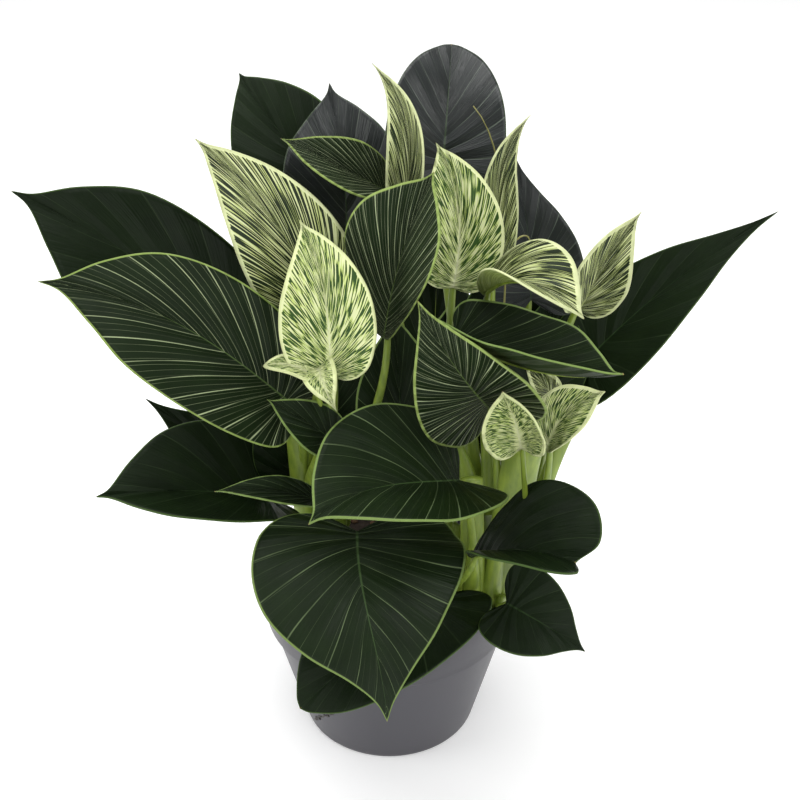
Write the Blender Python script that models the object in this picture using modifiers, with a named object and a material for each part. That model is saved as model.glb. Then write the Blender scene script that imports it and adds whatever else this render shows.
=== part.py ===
"""A bushy variegated philodendron in a round plastic nursery pot.

Metres, +Z up. The origin is the centre of the pot's base, on the surface that it stands on, and the
plant's best side looks along -Y. Each leaf is a blade on its own stalk. The stalks rise in two rings
from two crowns, which are rooted in the compost.
"""

import math

import bmesh
import bpy
from mathutils import Matrix, Vector

MM = 0.001
GAP = 0.4 * MM  # clearance between two pieces that meet

# Pot
RIM_RADIUS = 60 * MM
POT_HEIGHT = 82 * MM
POT_WALL = 1.2 * MM
COLLAR_HEIGHT = 23 * MM
COLLAR_TAPER = 2.4 * MM
LEDGE = 1.8 * MM
BASE_RADIUS = 42 * MM
BASE_CHAMFER = 3 * MM
DRAIN_RADIUS = 3.5 * MM
DRAIN_CIRCLE = 30 * MM
DRAIN_COUNT = 6
POT_STEPS = 40

# Compost
HEADSPACE = 11 * MM  # from the compost up to the rim, for watering
COMPOST_CROWNING = 2 * MM

# Crowns
CROWN_RADIUS = 8 * MM
CROWN_DEPTH = 14 * MM
CROWN_STEPS = 16
# Bearing from the pot's axis, room between the outer stalks and the pot's wall, and height above the compost
CROWNS = {"left": (-97.6, 14.5 * MM, 30 * MM), "right": (72, 2.7 * MM, 55 * MM)}

# Leaves
BLADE_THICKNESS = 0.7 * MM
BLADE_ROWS = 10
BLADE_COLUMNS = 6
STALK_RADIUS = 2.8 * MM
STALK_TIP_RADIUS = 1.3 * MM
STALK_POINTS = 7
STALK_PULL = 0.36  # how far each end steers the stalk, as a share of its span
INNER_STALKS = 8  # places in the ring on top of a crown
INNER_RING = (STALK_RADIUS + GAP / 2) / math.sin(math.pi / INNER_STALKS)
OUTER_STALKS = 11  # places in the ring round its foot
OUTER_RING = max(CROWN_RADIUS + STALK_RADIUS + GAP, (STALK_RADIUS + GAP / 2) / math.sin(math.pi / OUTER_STALKS))
ROOT_LIFT = 4 * MM  # from the compost up to the outer stalks
INNER_RISE = 82  # degrees above level as a stalk leaves its crown
OUTER_RISE = 70
DRAWN_RIM = 60  # the rim radius on which the leaves are placed, in millimetres

# Half outlines from the stalk round to the tip, as shares of the half width and of the length.
FORMS = {
    "heart": (
        (0, 0), (0.42, -0.11), (0.82, -0.09), (1, 0.10), (0.92, 0.34), (0.63, 0.57), (0.30, 0.75), (0.09, 0.89), (0, 1),
    ),
    "oval": (
        (0, 0), (0.42, 0.00), (0.82, 0.10), (1, 0.30), (0.93, 0.51), (0.64, 0.71), (0.28, 0.87), (0.07, 0.95), (0, 1),
    ),
    "broad": (
        (0, 0), (0.38, -0.07), (0.74, -0.02), (0.96, 0.20), (1, 0.44), (0.84, 0.66), (0.45, 0.82), (0.10, 0.93), (0, 1),
    ),
    "spade": (
        (0, 0), (0.25, 0.06), (0.52, 0.20), (0.82, 0.38), (1, 0.56), (0.88, 0.74), (0.46, 0.87), (0.12, 0.95), (0, 1),
    ),
    "dome": (
        (0, 0), (0.36, -0.20), (0.76, -0.22), (1, 0.02), (0.99, 0.32), (0.82, 0.60), (0.54, 0.82), (0.19, 0.96), (0, 1),
    ),
    "cordate": (
        (0, 0), (0.32, -0.17), (0.72, -0.18), (1, 0.02), (0.95, 0.28), (0.68, 0.53), (0.33, 0.75), (0.10, 0.90), (0, 1),
    ),
    "spoon": (
        (0, 0), (0.18, 0.10), (0.38, 0.24), (0.64, 0.40), (0.90, 0.60), (1, 0.82), (0.80, 1.02), (0.36, 1.10), (0, 1),
    ),
    "lance": (
        (0, 0), (0.50, 0.04), (0.88, 0.18), (1, 0.38), (0.86, 0.57), (0.54, 0.75), (0.22, 0.88), (0.06, 0.95), (0, 1),
    ),
}
VEIN_START = 1.5  # how the side veins crowd towards the stalk
VEIN_SWEEP = 1.7  # how they curve towards the tip
MARGIN_WAVES = 2.2  # ripples along each margin

COLOURS = {
    "pot": ((0.13, 0.125, 0.14), 0.5),
    "compost": ((0.03, 0.02, 0.012), 0.95),
    "crown": ((0.22, 0.24, 0.05), 0.6),
    "stalk": ((0.26, 0.34, 0.06), 0.45),
    "dark": ((0.012, 0.03, 0.012), 0.35),
    "charcoal": ((0.016, 0.024, 0.018), 0.35),
    "veined": ((0.016, 0.036, 0.014), 0.35),
    "striped": ((0.05, 0.10, 0.03), 0.35),
    "flecked": ((0.30, 0.40, 0.16), 0.4),
    "cream": ((0.55, 0.62, 0.32), 0.4),
}


def clear_scene():
    for old in list(bpy.data.objects):
        bpy.data.objects.remove(old)


def make_collection(name):
    made = bpy.data.collections.new(name)
    bpy.context.scene.collection.children.link(made)
    return made


def make_material(name):
    colour, roughness = COLOURS[name]
    material = bpy.data.materials.new(name)
    material.use_nodes = True
    shader = material.node_tree.nodes["Principled BSDF"]
    shader.inputs["Base Color"].default_value = (*colour, 1)
    shader.inputs["Roughness"].default_value = roughness
    return material


def add_object(name, data, finish, collection):
    made = bpy.data.objects.new(name, data)
    data.materials.append(finish)
    collection.objects.link(made)
    return made


def turned(name, profile, steps, finish, collection):
    """A solid of revolution round its own Z axis. The profile runs down the outer side."""
    data = bpy.data.meshes.new(name)
    points = [(radius, 0, height) for radius, height in profile]
    data.from_pydata(points, [(i, i + 1) for i in range(len(points) - 1)], [])
    made = add_object(name, data, finish, collection)
    screw = made.modifiers.new("Turn", "SCREW")
    screw.axis = "Z"
    screw.steps = steps
    screw.render_steps = steps
    screw.use_merge_vertices = True
    screw.merge_threshold = 0.01 * MM
    screw.use_smooth_shade = True
    return made


def cutter_rod(name, radius, low, high, place, collection):
    """An upright round cutter from height low to height high."""
    shape = bmesh.new()
    bmesh.ops.create_cone(
        shape, cap_ends=True, segments=CROWN_STEPS, radius1=radius, radius2=radius, depth=high - low
    )
    bmesh.ops.translate(shape, verts=shape.verts, vec=(*place, (low + high) / 2))
    data = bpy.data.meshes.new(name)
    shape.to_mesh(data)
    shape.free()
    made = bpy.data.objects.new(name, data)
    made.hide_render = True
    made.display_type = "WIRE"
    collection.objects.link(made)
    return made


def cut(target, tool):
    boolean = target.modifiers.new("Cut", "BOOLEAN")
    boolean.operation = "DIFFERENCE"
    boolean.solver = "EXACT"
    boolean.object = tool


# The pot's wall, as (radius, height) pairs that the compost follows too.
COLLAR_FOOT = POT_HEIGHT - COLLAR_HEIGHT
COLLAR_FOOT_RADIUS = RIM_RADIUS - COLLAR_TAPER
BODY_TOP_RADIUS = COLLAR_FOOT_RADIUS - LEDGE
COMPOST_TOP = POT_HEIGHT - HEADSPACE


def pot_outside():
    return [
        (RIM_RADIUS - POT_WALL / 2, POT_HEIGHT),
        (RIM_RADIUS, POT_HEIGHT - POT_WALL / 2),
        (COLLAR_FOOT_RADIUS, COLLAR_FOOT + POT_WALL / 2),
        (COLLAR_FOOT_RADIUS - POT_WALL / 3, COLLAR_FOOT),
        (BODY_TOP_RADIUS, COLLAR_FOOT),
        (BASE_RADIUS, BASE_CHAMFER),
        (BASE_RADIUS - BASE_CHAMFER / 2, 0),
    ]


def pot_inside(clearance=0.0):
    """The inner wall from the rim down to the floor, drawn in by a clearance."""
    inward = POT_WALL + clearance
    return [
        (RIM_RADIUS - inward, POT_HEIGHT),
        (COLLAR_FOOT_RADIUS - inward, COLLAR_FOOT + inward),
        (BODY_TOP_RADIUS - inward, COLLAR_FOOT + inward),
        (BASE_RADIUS - inward, BASE_CHAMFER + inward),
        (BASE_RADIUS - inward, POT_WALL + clearance),
    ]


def build_pot(finish, collection, cutters):
    inside = pot_inside()
    floor = inside[-1][1]
    profile = [(0, floor)] + inside[::-1] + pot_outside() + [(0, 0)]
    pot = turned("pot", profile, POT_STEPS, finish, collection)
    for number in range(DRAIN_COUNT):
        turn = 2 * math.pi * (number + 0.5) / DRAIN_COUNT
        place = (DRAIN_CIRCLE * math.cos(turn), DRAIN_CIRCLE * math.sin(turn))
        cut(pot, cutter_rod(f"drain_{number}", DRAIN_RADIUS, -POT_WALL, 2 * POT_WALL, place, cutters))


def build_compost(finish, collection, cutters):
    wall = pot_inside(GAP)
    rim, collar = wall[0], wall[1]
    share = (COMPOST_TOP - collar[1]) / (rim[1] - collar[1])
    edge = collar[0] + share * (rim[0] - collar[0])
    top = [(0, COMPOST_TOP + COMPOST_CROWNING), (0.6 * edge, COMPOST_TOP + 0.7 * COMPOST_CROWNING)]
    profile = top + [(edge, COMPOST_TOP)] + wall[1:] + [(0, wall[-1][1])]
    compost = turned("compost", profile, POT_STEPS, finish, collection)
    low = COMPOST_TOP - CROWN_DEPTH - GAP
    high = COMPOST_TOP + 3 * COMPOST_CROWNING
    for name in CROWNS:
        rod = cutter_rod(f"socket_{name}", CROWN_RADIUS + GAP, low, high, crown_place(name)[:2], cutters)
        cut(compost, rod)


def build_crowns(finish, collection):
    low = COMPOST_TOP - CROWN_DEPTH
    foot = [(CROWN_RADIUS, low + CROWN_RADIUS / 2), (CROWN_RADIUS / 2, low), (0, low)]
    for name, (_, _, height) in CROWNS.items():
        top = COMPOST_TOP + height
        head = [(0, top), (0.7 * CROWN_RADIUS, top - 0.1 * CROWN_RADIUS), (CROWN_RADIUS, top - CROWN_RADIUS / 2)]
        crown = turned(f"crown_{name}", head + foot, CROWN_STEPS, finish, collection)
        crown.location = crown_place(name)


def direction(bearing, rise):
    """A unit vector. Bearing is 0 to the front and 90 to the right, and rise is above level, in degrees."""
    turn = math.radians(bearing)
    up = math.radians(rise)
    return Vector((math.sin(turn) * math.cos(up), -math.cos(turn) * math.cos(up), math.sin(up)))


def crown_place(name):
    """A crown's foot in plan. It stands in from the pot's wall by its ring of stalks and its room."""
    bearing, room, _ = CROWNS[name]
    return direction(bearing, 0) * (RIM_RADIUS - POT_WALL - room - STALK_RADIUS - OUTER_RING)


def in_plan(x, y):
    """A place in plan, drawn in millimetres on a pot of DRAWN_RIM. The plant spreads with its pot."""
    return x * RIM_RADIUS / DRAWN_RIM, y * RIM_RADIUS / DRAWN_RIM


def above_rim(point):
    """A place drawn in millimetres from the centre of the pot's rim."""
    x, y, z = point
    return Vector((*in_plan(x, y), POT_HEIGHT + z * MM))


def between(pair, share):
    return pair[0] + (pair[1] - pair[0]) * share


def through(points, share):
    """A smooth curve through the points of an outline, read at a share of the way along it."""
    place = share * (len(points) - 1)
    index = min(int(place), len(points) - 2)
    part = place - index
    b, c = Vector(points[index]), Vector(points[index + 1])
    a = Vector(points[index - 1]) if index else 2 * b - c
    d = Vector(points[index + 2]) if index + 2 < len(points) else 2 * c - b
    return 0.5 * (2 * b + (c - a) * part + (2 * a - 5 * b + 4 * c - d) * part**2 + (3 * b - a - 3 * c + d) * part**3)


def cubic(points, share):
    """A Bezier curve's point and its tangent."""
    a, b, c, d = points
    rest = 1 - share
    place = rest**3 * a + 3 * rest**2 * share * b + 3 * rest * share**2 * c + share**3 * d
    slope = 3 * rest**2 * (b - a) + 6 * rest * share * (c - b) + 3 * share**2 * (d - c)
    return place, slope


class Leaf:
    """A leaf's place and bend. Lengths are in millimetres and angles in degrees.

    base and tip are the ends of the midrib, and face is the way that the upper side looks. A pair
    gives a value near the base and one near the tip: bow lifts the midrib towards the face, sweep
    bends it clockwise as the face is seen, fold raises both halves from it, and cup rolls them up.
    root is the bearing round the crown from which the stalk rises.
    """

    def __init__(self, name, crown, ring, root, base, tip, face, width, form="heart", kind="dark",
                 bow=(4, 6), sweep=(0, 0), fold=(18, 10), cup=(8, 8), twist=0, wave=0.02):
        self.name, self.crown, self.ring, self.root, self.kind = name, crown, ring, root, kind
        self.form = FORMS[form]
        self.half = width * MM / 2
        self.fold = [math.radians(angle) for angle in fold]
        self.cup = [math.radians(angle) for angle in cup]
        self.twist, self.wave = math.radians(twist), wave
        self.face = direction(*face)
        self.base, end = above_rim(base), above_rim(tip)
        chord = end - self.base
        normal = (self.face - self.face.project(chord)).normalized()
        side = chord.normalized().cross(normal)
        near = self.base + chord / 3 + (bow[0] * normal + sweep[0] * side) * MM * 4 / 3
        far = self.base + 2 * chord / 3 + (bow[1] * normal + sweep[1] * side) * MM * 4 / 3
        self.midrib = (self.base, near, far, end)

    def frame(self, along):
        """The midrib's point, tangent and normal. It runs on straight behind the base, for the lobes."""
        place, slope = cubic(self.midrib, max(along, 0))
        place = place + slope * min(along, 0)
        tangent = slope.normalized()
        normal = (self.face - self.face.project(tangent)).normalized()
        return place, tangent, Matrix.Rotation(self.twist * (along - 0.5), 3, tangent) @ normal

    def point(self, row, column):
        """A point of the blade. Rows follow the side veins, and columns run from -1 to 1 across it."""
        edge = through(self.form, row)
        rib = row**VEIN_START
        share = abs(column)
        along = rib + (edge.y - rib) * share**VEIN_SWEEP
        out = edge.x * share
        place, tangent, normal = self.frame(along)
        fold, cup = between(self.fold, along), between(self.cup, along)
        if abs(cup) < 0.01:
            level, lift = out * math.cos(fold), out * math.sin(fold)
        else:
            level = (math.sin(fold + cup * out) - math.sin(fold)) / cup
            lift = (math.cos(fold) - math.cos(fold + cup * out)) / cup
        lift += self.wave * out**2 * math.sin(2 * math.pi * MARGIN_WAVES * along + math.copysign(1, column))
        return place + self.half * (tangent.cross(normal) * math.copysign(level, column) + normal * lift)


def build_blade(leaf, finish, collection):
    shape = bmesh.new()
    bmesh.ops.create_grid(shape, x_segments=BLADE_ROWS, y_segments=BLADE_COLUMNS, size=0.5)
    for vertex in shape.verts:
        vertex.co = leaf.point(vertex.co.x + 0.5, -2 * vertex.co.y)
    bmesh.ops.remove_doubles(shape, verts=shape.verts, dist=0.01 * MM)
    data = bpy.data.meshes.new(f"blade_{leaf.name}")
    shape.to_mesh(data)
    shape.free()
    data.shade_smooth()
    made = add_object(data.name, data, finish, collection)
    solid = made.modifiers.new("Thickness", "SOLIDIFY")
    solid.thickness = BLADE_THICKNESS
    solid.offset = 0


def stalk_root(leaf):
    """Where a leaf's stalk starts on its crown, and the way that it leaves it."""
    crown_height = CROWNS[leaf.crown][2]
    if leaf.ring == "inner":
        out, height, rise = INNER_RING, COMPOST_TOP + crown_height + GAP, INNER_RISE
    else:
        out, height, rise = OUTER_RING, COMPOST_TOP + ROOT_LIFT, OUTER_RISE
    start = crown_place(leaf.crown) + Vector((0, 0, height)) + direction(leaf.root, 0) * out
    return start, direction(leaf.root, rise)


def build_stalk(leaf, finish, collection):
    root, leaving = stalk_root(leaf)
    _, tangent, normal = leaf.frame(0)
    arriving = (0.6 * tangent + 0.8 * Vector((0, 0, 1))).normalized()
    if arriving.dot(normal) < 0:
        arriving = (arriving - arriving.project(normal)).normalized()
    tilt = math.sqrt(max(0, 1 - arriving.dot(normal) ** 2))
    drop = BLADE_THICKNESS / 2 + GAP + STALK_TIP_RADIUS * tilt
    end = leaf.base - normal * drop - tangent * GAP
    reach = (end - root).length * STALK_PULL
    route = (root, root + leaving * reach, end - arriving * reach, end)
    data = bpy.data.curves.new(f"stalk_{leaf.name}", "CURVE")
    data.dimensions = "3D"
    data.bevel_depth = STALK_RADIUS
    data.bevel_resolution = 2
    data.use_fill_caps = True
    line = data.splines.new("POLY")
    line.points.add(STALK_POINTS - 1)
    for number, point in enumerate(line.points):
        share = number / (STALK_POINTS - 1)
        place, _ = cubic(route, share)
        point.co = (*place, 1)
        point.radius = between((1, STALK_TIP_RADIUS / STALK_RADIUS), share)
    add_object(data.name, data, finish, collection)


def all_leaves():
    return [
        Leaf("far_left", "left", "inner", -130, (-63, 25, 101), (-144, -5, 182), (-15, 30), 64, "broad",
             sweep=(4, 7)),
        Leaf("left_striped", "left", "inner", -85, (-38, -34, 105), (-123, -54, 166), (0, 30), 53, "broad", "striped",
             bow=(3, 8), sweep=(6, 11)),
        Leaf("low_left", "left", "outer", -75, (-52, -8, 42), (-117, -45, 68), (0, 60), 60, "broad", fold=(35, 30)),
        Leaf("low_left_rear", "left", "outer", -115, (-59, 22, 33), (-105, 5, 85), (-10, 40), 42),
        Leaf("front_heart", "left", "outer", 15, (-12, -55, 58), (0, -102, 2), (0, 45), 84, kind="veined",
             bow=(20, 12), sweep=(3, -2), fold=(3, 5), cup=(-15, -8)),
        Leaf("centre_front", "right", "outer", -14, (28, -53, 81), (-27, -100, 94), (-10, 65), 64, "broad", "veined",
             fold=(25, 15), sweep=(0, 6)),
        Leaf("pale_oval", "left", "inner", -40, (-21, -52, 127), (-31, -38, 183), (0, 25), 37, "oval", "cream",
             sweep=(3, 5)),
        Leaf("pale_upper_left", "left", "inner", 5, (-22, -22, 126), (-70, -16, 206), (5, 15), 43, "oval", "flecked",
             sweep=(8, 8)),
        Leaf("centre_striped", "left", "inner", 50, (-1, -35, 134), (17, -36, 200), (-35, 15), 44, "spade", "striped",
             fold=(30, 20)),
        Leaf("back_left", "left", "inner", 140, (-17, 0, 155), (-22, 15, 218), (-5, 10), 48, "broad", "charcoal",
             sweep=(4, 2)),
        Leaf("pale_right", "right", "inner", -70, (25, -30, 153), (18, -18, 205), (0, 15), 34, "oval", "cream",
             sweep=(4, 6)),
        Leaf("pale_curled", "right", "inner", 20, (36, -39, 154), (67, -78, 163), (-10, 70), 32, "spade", "flecked",
             bow=(10, 10), fold=(50, 35)),
        Leaf("narrow_top", "left", "inner", 95, (7, -17, 174), (-5, -12, 232), (-20, 10), 18, "lance", "flecked",
             cup=(50, 30), sweep=(5, 14)),
        Leaf("top", "right", "inner", -160, (22, 20, 182), (26, 52, 224), (0, 20), 50, "dome", "charcoal"),
        Leaf("upper_left", "left", "inner", 185, (-24, 30, 168), (-61, 50, 213), (-5, 10), 50, "oval"),
        Leaf("narrow_right", "right", "inner", 110, (42, -12, 151), (54, 0, 210), (10, 10), 16, "lance", "flecked",
             sweep=(-2, -12)),
        Leaf("right_back", "right", "inner", 155, (60, 15, 127), (52, 30, 184), (15, 10), 46, kind="charcoal"),
        Leaf("right_striped", "right", "inner", 65, (75, -15, 136), (94, -25, 181), (10, 20), 26, "lance", "flecked",
             fold=(30, 20), sweep=(-1, -5)),
        Leaf("far_right", "right", "outer", 130, (85, 15, 97), (153, 0, 172), (-5, 40), 42, sweep=(-3, -3)),
        Leaf("right_folded", "right", "inner", -25, (25, -46, 141), (79, -93, 150), (0, 86), 41, "broad", "veined",
             bow=(-7, -8), fold=(46, 44), cup=(0, 0), sweep=(0, -3)),
        Leaf("heart_up", "right", "outer", 19, (38, -54, 115), (11, -68, 165), (-25, 30), 48, "cordate", "striped"),
        Leaf("funnel", "right", "outer", 92, (64, -36, 84), (83, -46, 117), (-30, 25), 24, "spade", "cream",
             fold=(35, 25), cup=(20, 10), sweep=(-3, -4)),
        Leaf("low_right_spoon", "right", "outer", -47, (34, -52, 43), (69, -92, 71), (5, 66), 56, "spoon",
             fold=(44, 40), cup=(0, 0)),
        Leaf("low_right", "right", "outer", 57, (50, -47, 15), (83, -58, -2), (0, 45), 40),
        Leaf("low_front", "right", "outer", -83, (18, -37, 10), (-36, -80, -13), (0, 55), 56, "dome"),
        Leaf("rear_left", "left", "outer", 200, (-48, 48, 78), (-92, 104, 52), (-150, 50), 56),
        Leaf("rear_right", "right", "outer", 175, (56, 42, 70), (100, 98, 44), (150, 50), 54),
        Leaf("rear_middle", "right", "inner", -115, (4, 50, 118), (8, 108, 98), (180, 50), 52, kind="striped"),
    ]


def main():
    clear_scene()
    plant = make_collection("potted_philodendron")
    cutters = make_collection("cutters")
    finishes = {name: make_material(name) for name in COLOURS}
    build_pot(finishes["pot"], plant, cutters)
    build_compost(finishes["compost"], plant, cutters)
    build_crowns(finishes["crown"], plant)
    for leaf in all_leaves():
        build_blade(leaf, finishes[leaf.kind], plant)
        build_stalk(leaf, finishes["stalk"], plant)


main()
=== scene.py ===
import math
import random

import bmesh
import bpy
from mathutils import Matrix, Vector, noise


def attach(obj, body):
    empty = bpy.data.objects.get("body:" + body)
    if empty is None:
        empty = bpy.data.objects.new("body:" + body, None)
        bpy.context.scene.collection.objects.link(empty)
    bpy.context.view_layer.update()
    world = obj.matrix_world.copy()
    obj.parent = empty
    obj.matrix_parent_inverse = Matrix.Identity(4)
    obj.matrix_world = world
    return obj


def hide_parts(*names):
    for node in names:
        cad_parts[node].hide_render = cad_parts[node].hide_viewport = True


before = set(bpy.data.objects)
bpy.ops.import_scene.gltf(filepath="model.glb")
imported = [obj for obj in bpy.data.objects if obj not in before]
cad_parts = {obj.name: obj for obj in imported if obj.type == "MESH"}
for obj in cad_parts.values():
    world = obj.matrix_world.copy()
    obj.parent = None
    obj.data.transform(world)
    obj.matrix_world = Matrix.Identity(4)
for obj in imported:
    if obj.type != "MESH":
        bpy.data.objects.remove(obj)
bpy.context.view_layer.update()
MM = 0.001


# The nursery pot: one injection moulding in grey polypropylene with a little violet in it. The collar
# stands proud of the tapered body, so that pots nest without jamming, and water leaves by round holes.
def colour(hex_code):
    """An sRGB hex value as linear red, green, blue and alpha."""
    parts = [int(hex_code[i:i + 2], 16) / 255 for i in (1, 3, 5)]
    return (*[p / 12.92 if p <= 0.04045 else ((p + 0.055) / 1.055) ** 2.4 for p in parts], 1)


def add_node(tree, kind, inputs, **settings):
    """A new node. Each input takes a value, another node's first output, or one of its sockets."""
    made = tree.nodes.new("ShaderNode" + kind)
    for name, value in settings.items():
        setattr(made, name, value)
    for key, value in inputs.items():
        if isinstance(value, bpy.types.Node):
            value = value.outputs[0]
        if isinstance(value, bpy.types.NodeSocket):
            tree.links.new(value, made.inputs[key])
        else:
            made.inputs[key].default_value = value
    return made


def new_material(name):
    """An empty material with its shader: the material, its tree and the shader's node."""
    made = bpy.data.materials.new(name)
    made.use_nodes = True
    return made, made.node_tree, made.node_tree.nodes["Principled BSDF"]


def finished_piece(name, shape, material, slot, *nodes):
    """Makes a bmesh a smooth-shaded piece that rides on the root and stands for those CAD nodes."""
    data = bpy.data.meshes.new(name)
    shape.to_mesh(data)
    shape.free()
    data.shade_smooth()
    data.materials.append(material)
    made = bpy.data.objects.new(name, data)
    bpy.context.scene.collection.objects.link(made)
    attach(made, "root")
    if nodes:
        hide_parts(*nodes)
    return made


RIM_RADIUS, POT_HEIGHT, POT_WALL = 60 * MM, 82 * MM, 1.2 * MM
COLLAR_FOOT, COLLAR_FOOT_RADIUS, LEDGE = 59 * MM, 57.6 * MM, 1.8 * MM
BASE_RADIUS, BASE_CHAMFER = 42 * MM, 3 * MM
BODY_TOP_RADIUS = COLLAR_FOOT_RADIUS - LEDGE
DRAIN_HOLES, DRAIN_CIRCLE, DRAIN_RADIUS = 6, 30 * MM, 3.5 * MM
POT_STEPS = 144


def turned(profile, steps):
    """A closed skin turned round Z from (radius, height) pairs, whose ends are on the axis."""
    shape = bmesh.new()
    points = [shape.verts.new((radius, 0, height)) for radius, height in profile]
    edges = [shape.edges.new(pair) for pair in zip(points, points[1:])]
    bmesh.ops.spin(
        shape, geom=points + edges, cent=(0, 0, 0), axis=(0, 0, 1), angle=2 * math.pi, steps=steps,
        use_merge=True,
    )
    bmesh.ops.remove_doubles(shape, verts=shape.verts, dist=0.01 * MM)
    bmesh.ops.recalc_face_normals(shape, faces=shape.faces)
    return shape


def polypropylene():
    """Moulded polypropylene: a fine even grain from the tool, with a soft highlight and no sparkle."""
    made, tree, shader = new_material("moulded_polypropylene")
    place = add_node(tree, "TexCoord", {}).outputs["Object"]
    # Patches 35 mm across, where the tool was worn smoother, and a grain of 0.4 mm.
    bloom = add_node(tree, "TexNoise", {"Vector": place, "Scale": 28, "Detail": 3})
    grain = add_node(tree, "TexNoise", {"Vector": place, "Scale": 2600, "Detail": 2})
    tint = add_node(tree, "MixRGB", {"Fac": bloom, "Color1": colour("#2f2e34"), "Color2": colour("#3b3a41")})
    tree.links.new(tint.outputs[0], shader.inputs["Base Color"])
    rough = add_node(tree, "MapRange", {"Value": bloom, "To Min": 0.34, "To Max": 0.46})
    tree.links.new(rough.outputs[0], shader.inputs["Roughness"])
    bump = add_node(tree, "Bump", {"Height": grain, "Distance": 0.00005, "Strength": 0.5})
    tree.links.new(bump.outputs[0], shader.inputs["Normal"])
    return made


outer = [
    (RIM_RADIUS - 0.9 * MM, POT_HEIGHT), (RIM_RADIUS - 0.2 * MM, POT_HEIGHT - 0.3 * MM),
    (RIM_RADIUS, POT_HEIGHT - 1.0 * MM), (RIM_RADIUS - 0.3 * MM, POT_HEIGHT - 3 * MM),
    (COLLAR_FOOT_RADIUS, COLLAR_FOOT + 0.6 * MM), (COLLAR_FOOT_RADIUS - 0.5 * MM, COLLAR_FOOT),
    (BODY_TOP_RADIUS, COLLAR_FOOT), (BODY_TOP_RADIUS - 0.3 * MM, COLLAR_FOOT - 1 * MM),
    (BASE_RADIUS, BASE_CHAMFER), (BASE_RADIUS - 0.5 * MM, 1.2 * MM), (BASE_RADIUS - 1.6 * MM, 0), (0, 0),
]
inner = [
    (0, POT_WALL), (BASE_RADIUS - 2.5 * MM, POT_WALL),
    (BASE_RADIUS - POT_WALL, BASE_CHAMFER + POT_WALL),
    (BODY_TOP_RADIUS - POT_WALL, COLLAR_FOOT + POT_WALL),
    (COLLAR_FOOT_RADIUS - POT_WALL, COLLAR_FOOT + POT_WALL),
    (RIM_RADIUS - POT_WALL - 0.3 * MM, POT_HEIGHT - 3 * MM),
    (RIM_RADIUS - POT_WALL - 0.1 * MM, POT_HEIGHT - 0.5 * MM),
]
shape = turned(inner + outer, POT_STEPS)
pot = finished_piece("nursery_pot", shape, polypropylene(), "pot_plastic", "pot")
holes = bmesh.new()
for number in range(DRAIN_HOLES):
    turn = 2 * math.pi * (number + 0.5) / DRAIN_HOLES
    spot = Matrix.Translation((DRAIN_CIRCLE * math.cos(turn), DRAIN_CIRCLE * math.sin(turn), 0))
    bmesh.ops.create_cone(
        holes, cap_ends=True, segments=32, radius1=DRAIN_RADIUS, radius2=DRAIN_RADIUS, depth=6 * MM,
        matrix=spot,
    )
punch_data = bpy.data.meshes.new("punch")
holes.to_mesh(punch_data)
holes.free()
punch = bpy.data.objects.new("punch", punch_data)
bpy.context.scene.collection.objects.link(punch)
drilled = pot.modifiers.new("Holes", "BOOLEAN")
drilled.operation = "DIFFERENCE"
drilled.solver = "EXACT"
drilled.object = punch
bpy.context.view_layer.update()
pot_data = bpy.data.meshes.new_from_object(pot.evaluated_get(bpy.context.evaluated_depsgraph_get()))
pot.modifiers.remove(drilled)
pot.data = pot_data
bpy.data.objects.remove(punch)


# The compost: moist peat, pressed in to just under the rim and heaped a little in the middle. Bits of
# bark and white expanded perlite lie in its surface, which keeps it open and drains it.
COMPOST_TOP, COMPOST_EDGE, COMPOST_HEAP = 71 * MM, 57.2 * MM, 2 * MM
BESIDE_WALL = 1.8 * MM  # from the pot's outside to the compost, where the pot tapers
PERLITE_COUNT, BARK_COUNT = 70, 90


def peat():
    """Moist peat: near-black brown crumbs a millimetre or two across, dull all over."""
    made, tree, shader = new_material("moist_peat")
    place = add_node(tree, "TexCoord", {}).outputs["Object"]
    # Crumbs of 1.4 mm, gathered in clods of 3 mm.
    crumbs = add_node(tree, "TexNoise", {"Vector": place, "Scale": 700, "Detail": 4, "Roughness": 0.7})
    clods = add_node(tree, "TexVoronoi", {"Vector": place, "Scale": 320})
    tone = add_node(tree, "MixRGB", {"Fac": crumbs, "Color1": colour("#0e0906"), "Color2": colour("#3b2a1c")})
    tree.links.new(tone.outputs[0], shader.inputs["Base Color"])
    shader.inputs["Roughness"].default_value = 0.9
    height = add_node(tree, "Math", {0: crumbs, 1: clods}, operation="ADD")
    bump = add_node(tree, "Bump", {"Height": height, "Distance": 0.0012, "Strength": 0.9})
    tree.links.new(bump.outputs[0], shader.inputs["Normal"])
    return made


def heaped(share):
    """The compost's height at a share of the way from its middle to its edge."""
    return COMPOST_TOP + COMPOST_HEAP * (1 - share**2)


rings = 26
top = [(COMPOST_EDGE * ring / rings, heaped(ring / rings)) for ring in range(rings + 1)]
side = [
    (BODY_TOP_RADIUS - BESIDE_WALL, COLLAR_FOOT - 1 * MM), (BASE_RADIUS - BESIDE_WALL, 4.6 * MM),
    (BASE_RADIUS - BESIDE_WALL, BESIDE_WALL), (0, BESIDE_WALL),
]
shape = turned(top + side, 120)
for vert in shape.verts:
    reach = Vector((vert.co.x, vert.co.y)).length
    if vert.co.z > COMPOST_TOP - 1 * MM and reach < COMPOST_EDGE - 0.5 * MM:
        vert.co.z += 1.1 * MM * noise.fractal(vert.co * 260, 0.8, 2.2, 3)
finished_piece("peat_compost", shape, peat(), "compost", "compost")


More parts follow.
